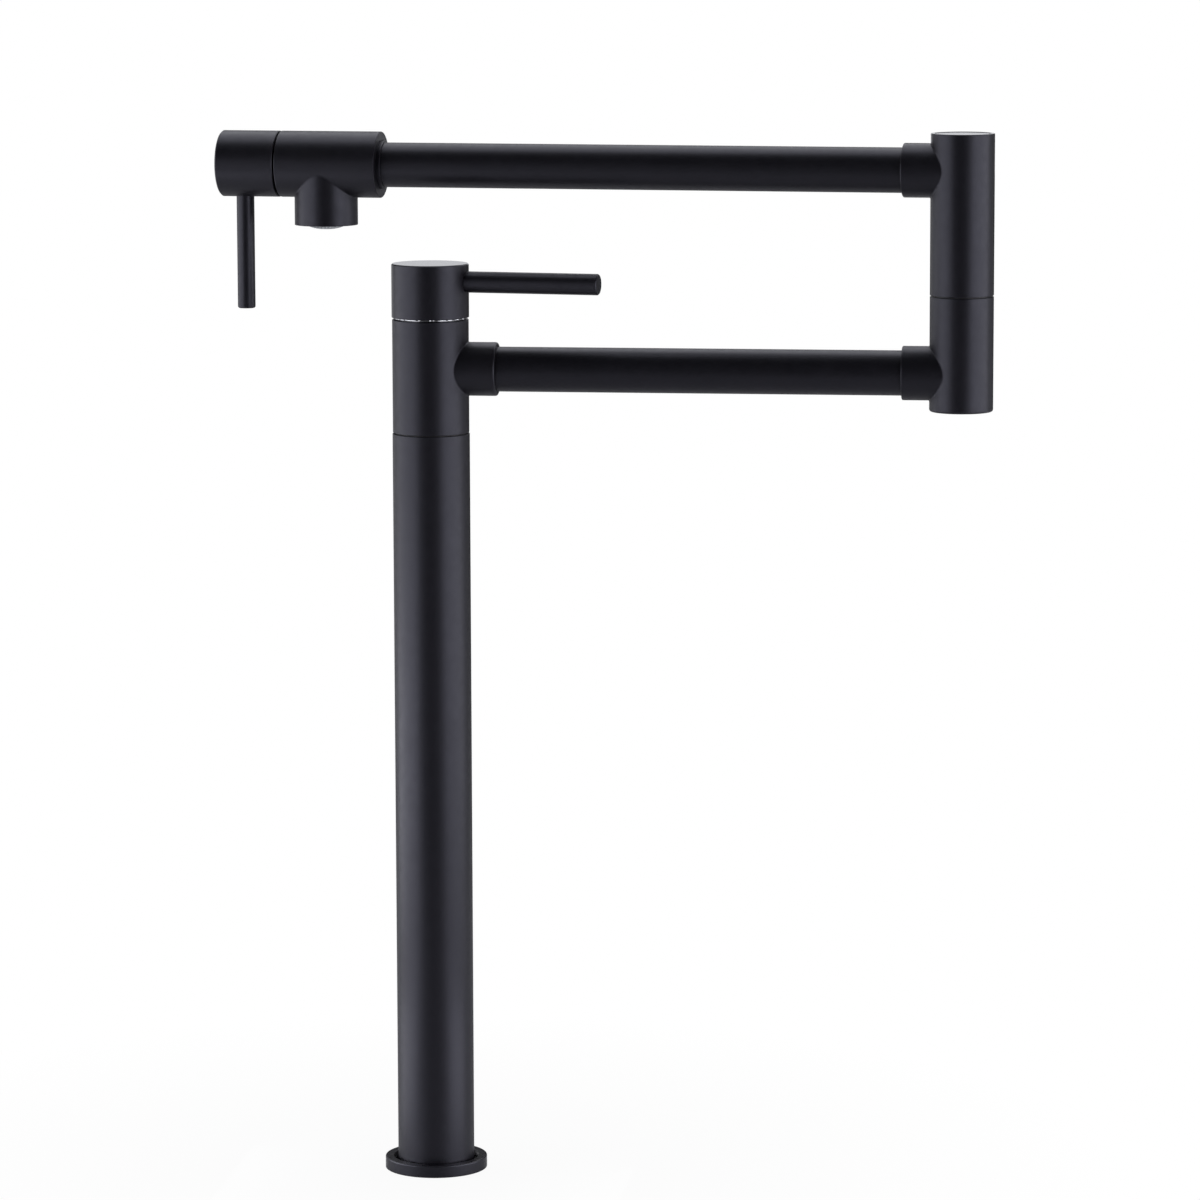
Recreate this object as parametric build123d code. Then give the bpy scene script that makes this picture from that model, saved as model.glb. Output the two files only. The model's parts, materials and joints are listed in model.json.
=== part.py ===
from build123d import *
import os

os.makedirs("parts", exist_ok=True)

# A deck-mounted pot filler, in millimetres, +Z up.
# The origin is the middle of the flange's underside, on the deck.
# The lower arm runs along +X from the column to the elbow, and the front of the tap faces -Y.
# The upper arm and both handles are drawn along +X from their own axes, then turned to their rest places.

# Clearances
overrun = 2.0
running_gap = 0.06
face_gap = 0.02
socket_gap = 0.03
clamp_gap = 0.4

# Rest angles in degrees, seen from above
half_turn = 180.0
quarter_turn = 90.0
upper_arm_swing = 5.0
base_lever_swing = 8.7

# Deck flange and its gasket
flange_r = 25.4
flange_h = 6.0
flange_round = 0.7
flange_foot_chamfer = 0.3
flange_floor = 2.6
flange_foot_gap = 0.5
gasket_outer_r = 23.2
gasket_inner_r = 17.0
gasket_h = 1.4

# Column
riser_r = 19.0
riser_wall = 1.5
riser_top = 369.6
riser_edge = 0.2
riser_inner_r = riser_r - riser_wall
foot_h = 24.0
foot_thread_depth = 16.0
foot_bore_r = 9.5

# Threaded shank through the deck, with the inlet thread at its end
shank_r = 14.0
shank_below = 52.0
shank_chamfer = 1.0
water_bore_r = 6.5
inlet_r = 10.48
inlet_length = 14.0
inlet_chamfer = 0.8
shank_top = flange_floor + foot_thread_depth

# Clamp under the deck, set for the deck's thickness
deck_thickness = 30.0
clamp_rubber_r = 24.0
clamp_rubber_h = 3.0
clamp_washer_r = 23.0
clamp_washer_h = 2.0
lock_nut_flats = 38.0
lock_nut_h = 9.0
lock_nut_chamfer = 1.0
thread_gap = 0.05

# Water tube inside the column
supply_r = 8.0
supply_wall = 1.2
supply_socket_depth = 12.0
supply_seal_r = 0.9
supply_seal_inset = 4.0

# Fixed core on the column, which the swivel body turns on
core_plug_h = 22.0
spigot_r = 12.9
core_water_r = 5.0
core_port_r = 3.0
gallery_r = 11.4
gallery_h = 9.0
core_seal_r = 0.9
core_seal_offset = 12.0
ring_r = 17.9
ring_h = 0.8
core_nut_r = 16.0
core_nut_h = 4.5
core_nut_notch_w = 4.0
core_nut_notch_depth = 1.2
core_bottom = riser_top - core_plug_h

# Arms, collars and tube sockets, with the heights of the arms built up from the column's top
lower_arm_rise = 31.9
arm_spacing = 98.2
lower_arm_length = 260.4
upper_arm_length = 317.8
tube_r = 11.0
tube_wall = 1.1
collar_r = 13.2
collar_round = 0.8
swivel_collar_end = 32.8
elbow_collar_end = 28.7
socket_depth = 14.0
tube_seal_r = 0.5
lower_arm_z = riser_top + lower_arm_rise
upper_arm_z = lower_arm_z + arm_spacing

# Swivel body
body_r = 18.8
body_rise = 24.3
body_edge = 0.3
riser_glide_r = 17.8
riser_glide_h = 0.5
arm_port_r = 7.0
body_bottom = riser_top + riser_glide_h + face_gap
body_top = lower_arm_z + body_rise
ring_bottom = body_top + face_gap
ring_top = ring_bottom + ring_h
core_top = ring_top + core_nut_h

# Elbow
elbow_r = 15.5
elbow_drop = 18.4
elbow_seam_rise = 37.8
elbow_rise = 18.1
elbow_round = 1.3
elbow_edge = 0.3
elbow_glide_r = 14.6
elbow_glide_h = 0.5
stem_r = 10.0
stem_bore_r = 6.2
stem_foot_gap = 2.0
stem_end_wall = 2.5
stem_seal_r = 0.9
stem_seal_offset = 11.8
stem_gallery_depth = 1.2
stem_port_r = 3.2
clip_depth = 0.8
clip_reach = 2.6
clip_h = 1.2
clip_slot = 7.0
clip_end_land = 0.7
cap_r = 13.6
cap_h = 1.6
cap_recess = 0.6
cap_edge = 0.3
elbow_bottom = lower_arm_z - elbow_drop
elbow_seam = lower_arm_z + elbow_seam_rise
elbow_top = upper_arm_z + elbow_rise

# Spout valve body and its nozzle, placed by their distance from the elbow's axis
spout_r = 16.35
spout_back = 28.4
spout_front = 22.9
spout_chamfer = 0.7
spout_edge = 0.3
spout_socket_depth = 12.0
spout_port_r = 5.0
gland_wall = 0.9
gland_h = 2.0
gland_edge = 0.3
nozzle_r = 15.65
nozzle_drop = 29.9
nozzle_chamfer = 0.5
outlet_r = 7.0
spout_inner_end = upper_arm_length - spout_back
spout_seam = upper_arm_length + spout_front

# Aerator in the nozzle
aerator_r = 12.0
aerator_ring_h = 8.0
aerator_recess = 0.3
aerator_washer_h = 1.5
aerator_washer_inner_r = 9.0
insert_r = 10.4
insert_h = 6.3
insert_nose_h = 2.2
insert_hole_r = 0.7
insert_hole_rings = (3.2, 6.0)
insert_hole_count = 6
mesh_h = 0.3

# Ceramic valve, with its windows at the height of the port that it feeds
chamber_r = 9.0
housing_gap = 0.1
housing_inner_r = 7.7
seat_seal_h = 1.6
seat_seal_gap = 0.6
disc_h = 3.0
disc_gap = 0.2
disc_hole_r = 2.2
disc_hole_at = 4.2
disc_notch_r = 3.2
disc_notch_at = 6.4
tang_w = 2.0
tang_length = 9.0
tang_depth = 1.2
window_at = 8.5
window_h = 6.0
window_w = 7.0
shoulder_h = 2.0
shoulder_gap = 0.3
spindle_r = 4.0
spindle_neck_r = 3.2
spindle_seal_r = 0.6
spindle_seal_inset = 5.0
spindle_reach = 12.0
hex_flats = 20.0
hex_h = 4.5
housing_seal_r = 0.7
housing_seal_inset = 4.0

# Handle hubs
hub_r = 19.0
hub_gap = 0.9
hub_h = 26.5
hub_edge = 0.5
hub_skirt_r = 16.9
skirt_room = 1.0
spout_hub_gap = 0.5
spout_hub_length = 29.9
spout_skirt_r = 13.2
spindle_hole_room = 0.5
hub_bottom = body_top + hub_gap
hub_top = hub_bottom + hub_h
spout_hub_end = spout_seam + spout_hub_length

# Pin levers and their grub screws
base_lever_rise = 17.7
base_lever_r = 5.2
base_lever_reach = 86.0
base_stud_r = 3.0
base_stud_length = 7.0
spout_lever_inset = 18.6
spout_lever_r = 4.4
spout_lever_drop = 71.9
spout_stud_r = 2.5
spout_stud_length = 6.0
lever_seat = 3.5
lever_chamfer = 0.6
grub_r = 2.0
grub_length = 5.0
grub_socket_flats = 2.0
grub_socket_depth = 2.0
spout_grub_inset = 5.0
base_lever_z = hub_bottom + base_lever_rise
spout_lever_at = spout_seam + spout_lever_inset


# Basic solids
def rod(r, low, high):
    """Upright cylinder between two heights."""
    return extrude(Plane.XY.offset(low) * Circle(r), high - low)


def ring(outer, inner, low, high):
    """Upright ring between two heights."""
    return rod(outer, low, high) - rod(inner, low - overrun, high + overrun)


def x_rod(r, low, high, z):
    """Level cylinder along X at height z."""
    return Pos(0, 0, z) * extrude(Plane.YZ.offset(low) * Circle(r), high - low)


def x_ring(outer, inner, low, high, z):
    """Level ring along X at height z."""
    return x_rod(outer, low, high, z) - x_rod(inner, low - overrun, high + overrun, z)


def hexagon(flats, low, high):
    """Upright six-sided prism, measured across its flats."""
    return extrude(Plane.XY.offset(low) * RegularPolygon(flats / 2, 6, major_radius=False), high - low)


def rim(shape, axis, high):
    """The widest round edge at the high or low end of a shape along an axis."""
    ends = shape.edges().filter_by(GeomType.CIRCLE).group_by(axis)
    return ends[-1 if high else 0].sort_by(SortBy.RADIUS)[-1]


def inner_seal(bore_r, seal_r, z):
    """Seal ring lying in a groove outside a bore of radius bore_r."""
    return Pos(0, 0, z) * Torus(bore_r + seal_r, seal_r)


def outer_seal(shaft_r, seal_r, z):
    """Seal ring lying in a groove of a shaft of radius shaft_r, flush with it."""
    return Pos(0, 0, z) * Torus(shaft_r - seal_r, seal_r)


def inner_groove(bore_r, seal_r, z):
    """Cut for a seal ring outside a bore."""
    room = seal_r + socket_gap
    return ring(bore_r + seal_r + room, bore_r - seal_r, z - room, z + room)


def outer_groove(shaft_r, seal_r, z):
    """Cut for a seal ring in a shaft."""
    room = seal_r + socket_gap
    return ring(shaft_r + overrun, shaft_r - seal_r - room, z - room, z + room)


def along_x(shape, x, z):
    """Lays an upright shape along +X, with its zero at x and its axis at height z."""
    return Pos(x, 0, z) * Rot(0, quarter_turn, 0) * shape


# Places of the turned sub-assemblies
elbow_place = Pos(lower_arm_length, 0, 0)
lower_elbow_place = elbow_place * Rot(0, 0, half_turn)
upper_arm_place = elbow_place * Rot(0, 0, half_turn - upper_arm_swing)
base_lever_place = Rot(0, 0, -base_lever_swing)

# Derived heights
seat_z = lower_arm_z - window_at
seat_x = upper_arm_length - window_at
nozzle_bottom = upper_arm_z - nozzle_drop
elbow_lower_top = elbow_seam - elbow_glide_h / 2
elbow_upper_bottom = elbow_seam + elbow_glide_h / 2 + face_gap
clip_shoulder = upper_arm_z + stem_seal_offset + stem_seal_r + clip_end_land
clip_bottom = clip_shoulder + face_gap
clip_top = clip_bottom + clip_h
cap_top = elbow_top - cap_recess
stem_top = clip_top + clip_end_land
stem_bottom = lower_arm_z + arm_port_r + stem_foot_gap
shank_foot = -shank_below
inlet_end = shank_foot - inlet_length


# Deck flange, column and shank
def make_base_flange():
    body = rod(flange_r, 0, flange_h)
    body = fillet(rim(body, Axis.Z, True), flange_round)
    body = chamfer(rim(body, Axis.Z, False), flange_foot_chamfer)
    body -= rod(riser_r + flange_foot_gap, flange_floor, flange_h + overrun)
    body -= rod(shank_r + clamp_gap, -overrun, flange_floor + overrun)
    return body - ring(gasket_outer_r, gasket_inner_r, -overrun, gasket_h)


def make_riser_tube():
    tube = ring(riser_r, riser_inner_r, flange_floor, riser_top)
    return chamfer(rim(tube, Axis.Z, True), riser_edge)


def make_riser_foot():
    foot = rod(riser_inner_r, flange_floor, flange_floor + foot_h)
    foot -= rod(shank_r + thread_gap, flange_floor - overrun, shank_top)
    return foot - rod(foot_bore_r, flange_floor, flange_floor + foot_h + overrun)


supply_low_seal_z = shank_top - supply_seal_inset


def make_mounting_shank():
    shank = rod(shank_r, shank_foot, shank_top)
    shank = chamfer(rim(shank, Axis.Z, False), shank_chamfer)
    end = rod(inlet_r, inlet_end, shank_foot)
    shank += chamfer(rim(end, Axis.Z, False), inlet_chamfer)
    shank -= rod(water_bore_r, inlet_end - overrun, shank_top + overrun)
    shank -= rod(supply_r + socket_gap, shank_top - supply_socket_depth, shank_top + overrun)
    return shank - inner_groove(supply_r, supply_seal_r, supply_low_seal_z)


def make_clamp():
    """Rubber washer, steel washer and nut, from the deck's underside down."""
    hole = shank_r + clamp_gap
    rubber_low = -deck_thickness - clamp_rubber_h
    washer_low = rubber_low - clamp_washer_h
    nut_low = washer_low - lock_nut_h
    rubber = ring(clamp_rubber_r, hole, rubber_low, -deck_thickness)
    washer = ring(clamp_washer_r, hole, washer_low, rubber_low)
    corner_r = lock_nut_flats / 2 + lock_nut_chamfer
    nut = hexagon(lock_nut_flats, nut_low, washer_low)
    blank = rod(corner_r, nut_low, washer_low)
    nut &= chamfer(rim(blank, Axis.Z, False), lock_nut_chamfer)
    nut -= rod(shank_r + thread_gap, nut_low - overrun, washer_low + overrun)
    return rubber, washer, nut


# Water tube and fixed core
supply_high_seal_z = core_bottom + supply_seal_inset


def make_supply_tube():
    low = shank_top - supply_socket_depth
    high = core_bottom + supply_socket_depth
    return ring(supply_r, supply_r - supply_wall, low, high)


def make_valve_core():
    core = rod(riser_inner_r, core_bottom, riser_top) + rod(spigot_r, riser_top, core_top)
    core -= rod(supply_r + socket_gap, core_bottom - overrun, core_bottom + supply_socket_depth)
    core -= inner_groove(supply_r, supply_seal_r, supply_high_seal_z)
    core -= rod(core_water_r, core_bottom, seat_z + overrun)
    core -= rod(chamber_r, seat_z, core_top + overrun)
    half = gallery_h / 2
    core -= ring(spigot_r + overrun, gallery_r, lower_arm_z - half, lower_arm_z + half)
    port = x_rod(core_port_r, -spigot_r, spigot_r, lower_arm_z)
    core -= port
    core -= Rot(0, 0, quarter_turn) * port
    for side in (-1, 1):
        core -= outer_groove(spigot_r, core_seal_r, lower_arm_z + side * core_seal_offset)
    return core


def make_core_nut():
    nut = ring(core_nut_r, spigot_r + thread_gap, ring_top, core_top)
    notch = Box(core_nut_notch_w, core_nut_r * 2 + overrun, core_nut_notch_depth)
    notch = Pos(0, 0, core_top - core_nut_notch_depth / 2) * notch
    nut -= notch
    nut -= Rot(0, 0, quarter_turn) * notch
    return nut


# Ceramic valve, drawn up from its seat at zero
disc_r = housing_inner_r - disc_gap
fixed_top = seat_seal_h + disc_h
moving_low = fixed_top + face_gap
moving_top = moving_low + disc_h
shoulder_low = window_at + window_h / 2 + shoulder_gap
shoulder_top = shoulder_low + shoulder_h


def make_seat_seal():
    return ring(chamber_r - seat_seal_gap, core_water_r, 0, seat_seal_h)


def make_fixed_disc():
    disc = rod(disc_r, seat_seal_h, fixed_top)
    for side in (-1, 1):
        disc -= Pos(side * disc_hole_at, 0, 0) * rod(disc_hole_r, 0, fixed_top + overrun)
    return disc


def make_moving_disc():
    disc = rod(disc_r, moving_low, moving_top)
    for side in (-1, 1):
        disc -= Pos(0, side * disc_notch_at, 0) * rod(disc_notch_r, 0, moving_top + overrun)
    slot = Box(tang_length, tang_w + socket_gap, tang_depth * 2)
    return disc - Pos(0, 0, moving_top) * slot


def make_housing(mouth):
    """Housing of a ceramic valve whose mouth lies at the given height over the seat."""
    body = rod(chamber_r - housing_gap, seat_seal_h, mouth) + hexagon(hex_flats, mouth, mouth + hex_h)
    body -= rod(housing_inner_r, seat_seal_h - overrun, shoulder_top + shoulder_gap)
    body -= rod(spindle_r + running_gap, shoulder_top, mouth + hex_h + overrun)
    window = Pos(0, 0, window_at) * Box(chamber_r * 2, window_w, window_h)
    body -= window
    body -= Rot(0, 0, quarter_turn) * window
    return body - outer_groove(chamber_r - housing_gap, housing_seal_r, mouth - housing_seal_inset)


def make_housing_seal(mouth):
    return outer_seal(chamber_r - housing_gap, housing_seal_r, mouth - housing_seal_inset)


def make_spindle(mouth):
    """Spindle of a ceramic valve, with a tang that turns the moving disc."""
    top = mouth + hex_h + spindle_reach
    body = rod(spindle_neck_r, moving_top, shoulder_low) + rod(disc_r, shoulder_low, shoulder_top)
    body += rod(spindle_r, shoulder_top, top)
    tang = Box(tang_length - socket_gap * 2, tang_w, tang_depth)
    body += Pos(0, 0, moving_top - tang_depth / 2) * tang
    return body - outer_groove(spindle_r, spindle_seal_r, mouth - spindle_seal_inset)


def make_spindle_seal(mouth):
    return outer_seal(spindle_r, spindle_seal_r, mouth - spindle_seal_inset)


# Handle hubs with their levers, drawn along +Z from the mouth side
def make_grub_screw():
    """Screw along +X, from the spindle outward, with a six-sided socket in its outer end."""
    screw = rod(grub_r, 0, grub_length)
    return screw - hexagon(grub_socket_flats, grub_length - grub_socket_depth, grub_length + overrun)


base_mouth = core_top - seat_z
base_spindle_top = core_top + hex_h + spindle_reach
base_boss = core_top + hex_h + skirt_room
base_lever_start = hub_r - lever_seat


def make_base_hub():
    hub = rod(hub_r, hub_bottom, hub_top)
    hub = chamfer(rim(hub, Axis.Z, True), hub_edge)
    hub = chamfer(rim(hub, Axis.Z, False), body_edge)
    hub -= rod(hub_skirt_r, hub_bottom - overrun, base_boss)
    hub -= rod(spindle_r + socket_gap, base_boss - overrun, base_spindle_top + spindle_hole_room)
    hub -= x_rod(base_lever_r + socket_gap, base_lever_start, hub_r + overrun, base_lever_z)
    stud_end = base_lever_start - base_stud_length
    hub -= x_rod(base_stud_r + socket_gap, stud_end, base_lever_start + overrun, base_lever_z)
    screw_hole = x_rod(grub_r + socket_gap, 0, hub_r + overrun, base_lever_z)
    return hub - Rot(0, 0, quarter_turn) * screw_hole


def make_base_lever_rod():
    lever = x_rod(base_lever_r, base_lever_start, base_lever_reach, base_lever_z)
    lever = chamfer(rim(lever, Axis.X, True), lever_chamfer)
    return lever + x_rod(base_stud_r, base_lever_start - base_stud_length, base_lever_start, base_lever_z)


spout_mouth = spout_seam - seat_x
spout_spindle_end = spout_seam + hex_h + spindle_reach
spout_boss = spout_seam + hex_h + skirt_room
spout_lever_top = upper_arm_z - spout_r + lever_seat
spout_lever_tip = upper_arm_z - spout_lever_drop
spout_grub_x = spout_boss + spout_grub_inset


def make_spout_hub():
    hub = x_rod(spout_r, spout_seam + spout_hub_gap, spout_hub_end, upper_arm_z)
    hub = chamfer(rim(hub, Axis.X, True), spout_chamfer)
    hub = chamfer(rim(hub, Axis.X, False), spout_edge)
    hub -= x_rod(spout_skirt_r, spout_seam - overrun, spout_boss, upper_arm_z)
    hole_end = spout_spindle_end + spindle_hole_room
    hub -= x_rod(spindle_r + socket_gap, spout_boss - overrun, hole_end, upper_arm_z)
    below = upper_arm_z - spout_r - overrun
    hub -= Pos(spout_lever_at, 0, 0) * rod(spout_lever_r + socket_gap, below, spout_lever_top)
    stud_top = spout_lever_top + spout_stud_length
    hub -= Pos(spout_lever_at, 0, 0) * rod(spout_stud_r + socket_gap, below, stud_top)
    return hub - Pos(spout_grub_x, 0, 0) * rod(grub_r + socket_gap, below, upper_arm_z)


def make_spout_lever_rod():
    lever = rod(spout_lever_r, spout_lever_tip, spout_lever_top)
    lever = chamfer(rim(lever, Axis.Z, False), lever_chamfer)
    lever += rod(spout_stud_r, spout_lever_top, spout_lever_top + spout_stud_length)
    return Pos(spout_lever_at, 0, 0) * lever


# Swivel body and elbow halves, with a collar along +X for an arm tube
def make_collar(end, z):
    """Neck from the axis to the collar's end, with its outer rim rounded."""
    neck = x_rod(collar_r, 0, end, z)
    return fillet(rim(neck, Axis.X, True), collar_round)


def collar_cuts(end, z):
    """Tube socket with its seal groove, and the port behind it."""
    start = end - socket_depth
    groove = inner_groove(tube_r, tube_seal_r, start + socket_depth / 2)
    return [
        x_rod(tube_r + socket_gap, start, end + overrun, z),
        x_rod(arm_port_r, 0, start + overrun, z),
        along_x(groove, 0, z),
    ]


def make_swivel_body():
    body = rod(body_r, body_bottom, body_top)
    body = chamfer(rim(body, Axis.Z, True), body_edge)
    body = chamfer(rim(body, Axis.Z, False), riser_edge)
    body += make_collar(swivel_collar_end, lower_arm_z)
    for cut in collar_cuts(swivel_collar_end, lower_arm_z):
        body -= cut
    return body - rod(spigot_r + running_gap, body_bottom - overrun, body_top + overrun)


def make_elbow_lower():
    body = rod(elbow_r, elbow_bottom, elbow_lower_top)
    body = chamfer(rim(body, Axis.Z, True), elbow_edge)
    body = fillet(rim(body, Axis.Z, False), elbow_round)
    body += make_collar(elbow_collar_end, lower_arm_z)
    for cut in collar_cuts(elbow_collar_end, lower_arm_z):
        body -= cut
    return body - rod(stem_r + thread_gap, lower_arm_z - arm_port_r, elbow_lower_top + overrun)


def make_elbow_upper():
    body = rod(elbow_r, elbow_upper_bottom, elbow_top)
    body = chamfer(rim(body, Axis.Z, True), elbow_edge)
    body = chamfer(rim(body, Axis.Z, False), elbow_edge)
    body += make_collar(elbow_collar_end, upper_arm_z)
    for cut in collar_cuts(elbow_collar_end, upper_arm_z):
        body -= cut
    body -= rod(stem_r + running_gap, elbow_upper_bottom - overrun, clip_shoulder + overrun)
    return body - rod(cap_r, clip_shoulder, elbow_top + overrun)


def make_elbow_stem():
    stem = rod(stem_r, stem_bottom, stem_top)
    stem -= rod(stem_bore_r, stem_bottom - overrun, stem_top - stem_end_wall)
    gallery = stem_r - stem_gallery_depth
    stem -= ring(stem_r + overrun, gallery, upper_arm_z - arm_port_r, upper_arm_z + arm_port_r)
    port = x_rod(stem_port_r, -stem_r, stem_r, upper_arm_z)
    stem -= port
    stem -= Rot(0, 0, quarter_turn) * port
    for side in (-1, 1):
        stem -= outer_groove(stem_r, stem_seal_r, upper_arm_z + side * stem_seal_offset)
    return stem - ring(stem_r + overrun, stem_r - clip_depth, clip_bottom, clip_top + face_gap)


def make_elbow_clip():
    clip = ring(stem_r + clip_reach, stem_r - clip_depth, clip_bottom, clip_top)
    slot = Box(stem_r * 2, clip_slot, clip_h * 2)
    return clip - Pos(stem_r * 2, 0, clip_top) * slot


def make_elbow_top_cap():
    cap = rod(cap_r, cap_top - cap_h, cap_top)
    return chamfer(rim(cap, Axis.Z, True), cap_edge)


# Spout valve body and aerator
def make_spout_body():
    body = x_rod(spout_r, spout_inner_end, spout_seam, upper_arm_z)
    body = chamfer(rim(body, Axis.X, False), spout_chamfer)
    body = chamfer(rim(body, Axis.X, True), spout_edge)
    nozzle = rod(nozzle_r, nozzle_bottom, upper_arm_z)
    nozzle = chamfer(rim(nozzle, Axis.Z, False), nozzle_chamfer)
    body += Pos(upper_arm_length, 0, 0) * nozzle
    socket_end = spout_inner_end + spout_socket_depth
    body -= x_rod(tube_r + socket_gap, spout_inner_end - overrun, socket_end, upper_arm_z)
    groove = inner_groove(tube_r, tube_seal_r, spout_inner_end + spout_socket_depth / 2)
    body -= along_x(groove, 0, upper_arm_z)
    body -= x_rod(spout_port_r, socket_end - overrun, seat_x + overrun, upper_arm_z)
    body -= x_rod(chamber_r, seat_x, spout_seam + overrun, upper_arm_z)
    body -= Pos(upper_arm_length, 0, 0) * rod(outlet_r, nozzle_bottom - overrun, upper_arm_z)
    thread = rod(aerator_r + thread_gap, nozzle_bottom - overrun, aerator_seat)
    return body - Pos(upper_arm_length, 0, 0) * thread


aerator_low = nozzle_bottom + aerator_recess
aerator_top = aerator_low + aerator_ring_h
aerator_seat = aerator_top + aerator_washer_h


def make_aerator_insert():
    """Plastic insert with a shallow domed nose and two rings of holes."""
    dome_r = (insert_r**2 + insert_nose_h**2) / (insert_nose_h * 2)
    tip = nozzle_bottom - insert_nose_h
    top = nozzle_bottom + insert_h
    dome = Pos(0, 0, tip + dome_r) * Sphere(dome_r)
    body = rod(insert_r, nozzle_bottom, top) + (dome & rod(insert_r, tip - overrun, nozzle_bottom))
    hole = rod(insert_hole_r, tip - overrun, top + overrun)
    for step, ring_r in enumerate(insert_hole_rings):
        for place in PolarLocations(ring_r, insert_hole_count * (step + 1)):
            body -= place * hole
    return body


def make_gland_ring():
    gland = x_ring(tube_r + gland_wall, tube_r, spout_inner_end - gland_h, spout_inner_end, upper_arm_z)
    return chamfer(rim(gland, Axis.X, False), gland_edge)


def make_tube_seals(places, z):
    """Seal rings on an arm tube, at the given distances along it."""
    seal = inner_seal(tube_r, tube_seal_r, 0)
    return Compound(children=[along_x(seal, x, z) for x in places])


def valve_pieces(prefix, mouth, place):
    """The seven pieces of a ceramic valve, moved to its seat."""
    return {
        prefix + "_seat_seal": place * make_seat_seal(),
        prefix + "_disc_fixed": place * make_fixed_disc(),
        prefix + "_disc_moving": place * make_moving_disc(),
        prefix + "_cartridge": place * make_housing(mouth),
        prefix + "_cartridge_seal": place * make_housing_seal(mouth),
        prefix + "_spindle": place * make_spindle(mouth),
        prefix + "_spindle_seal": place * make_spindle_seal(mouth),
    }


# Column and shank, on the deck
clamp_rubber, clamp_washer, lock_nut = make_clamp()
parts = {
    "base_flange": make_base_flange(),
    "flange_gasket": ring(gasket_outer_r, gasket_inner_r, 0, gasket_h),
    "riser_tube": make_riser_tube(),
    "riser_foot": make_riser_foot(),
    "mounting_shank": make_mounting_shank(),
    "clamp_rubber": clamp_rubber,
    "clamp_washer": clamp_washer,
    "lock_nut": lock_nut,
    "supply_tube": make_supply_tube(),
    "supply_o_rings": Compound(
        children=[inner_seal(supply_r, supply_seal_r, z) for z in (supply_low_seal_z, supply_high_seal_z)]
    ),
    "valve_core": make_valve_core(),
    "core_o_rings": Compound(
        children=[
            outer_seal(spigot_r, core_seal_r, lower_arm_z + side * core_seal_offset) for side in (-1, 1)
        ]
    ),
    "riser_glide_washer": ring(riser_glide_r, spigot_r, riser_top, riser_top + riser_glide_h),
    "plated_ring": ring(ring_r, spigot_r, ring_bottom, ring_top),
    "core_nut": make_core_nut(),
}

# Base handle, turned to its rest place
grub_screw = make_grub_screw()
base_valve = valve_pieces("base", base_mouth, base_lever_place * Pos(0, 0, seat_z))
parts.update(base_valve)
base_grub = Rot(0, 0, quarter_turn) * along_x(grub_screw, spindle_r, base_lever_z)
parts["base_hub"] = base_lever_place * make_base_hub()
parts["base_lever_rod"] = base_lever_place * make_base_lever_rod()
parts["base_grub_screw"] = base_lever_place * base_grub

# Lower arm, from the swivel body to the elbow
lower_tube_start = swivel_collar_end - socket_depth
lower_tube_end = lower_arm_length - elbow_collar_end + socket_depth
lower_seal_places = (lower_tube_start + socket_depth / 2, lower_tube_end - socket_depth / 2)
parts["swivel_body"] = make_swivel_body()
parts["lower_arm_tube"] = x_ring(tube_r, tube_r - tube_wall, lower_tube_start, lower_tube_end, lower_arm_z)
parts["lower_tube_seals"] = make_tube_seals(lower_seal_places, lower_arm_z)
parts["elbow_lower"] = lower_elbow_place * make_elbow_lower()
parts["elbow_stem"] = elbow_place * make_elbow_stem()
parts["elbow_clip"] = elbow_place * make_elbow_clip()
parts["elbow_glide_washer"] = elbow_place * ring(
    elbow_glide_r, stem_r, elbow_lower_top, elbow_lower_top + elbow_glide_h
)
parts["elbow_o_rings"] = Compound(
    children=[
        elbow_place * outer_seal(stem_r, stem_seal_r, upper_arm_z + side * stem_seal_offset)
        for side in (-1, 1)
    ]
)

# Upper arm, from the elbow to the spout
upper_tube_start = elbow_collar_end - socket_depth
upper_tube_end = spout_inner_end + spout_socket_depth
upper_seal_places = (upper_tube_start + socket_depth / 2, upper_tube_end - spout_socket_depth / 2)
upper_arm = {
    "elbow_upper": make_elbow_upper(),
    "elbow_top_cap": make_elbow_top_cap(),
    "upper_arm_tube": x_ring(tube_r, tube_r - tube_wall, upper_tube_start, upper_tube_end, upper_arm_z),
    "upper_tube_seals": make_tube_seals(upper_seal_places, upper_arm_z),
    "gland_ring": make_gland_ring(),
    "spout_body": make_spout_body(),
    "aerator_ring": Pos(upper_arm_length, 0, 0) * ring(aerator_r, insert_r, aerator_low, aerator_top),
    "aerator_insert": Pos(upper_arm_length, 0, 0) * make_aerator_insert(),
    "aerator_mesh": Pos(upper_arm_length, 0, nozzle_bottom + insert_h) * rod(insert_r, 0, mesh_h),
    "aerator_washer": Pos(upper_arm_length, 0, 0)
    * ring(aerator_r, aerator_washer_inner_r, aerator_top, aerator_seat),
}

# Spout handle, in the upper arm's frame
spout_valve_place = Pos(seat_x, 0, upper_arm_z) * Rot(0, quarter_turn, 0)
upper_arm.update(valve_pieces("spout", spout_mouth, spout_valve_place))
upper_arm["spout_hub"] = make_spout_hub()
upper_arm["spout_lever_rod"] = make_spout_lever_rod()
upper_arm["spout_grub_screw"] = (
    Pos(spout_grub_x, 0, upper_arm_z - spindle_r) * Rot(half_turn, 0, 0) * grub_screw
)
for name, piece in upper_arm.items():
    parts[name] = upper_arm_place * piece

for name, piece in parts.items():
    export_step(piece, f"parts/{name}.step")
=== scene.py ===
import json
import math
from collections import namedtuple

import bmesh
import bpy
from mathutils import Matrix, Vector


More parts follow.
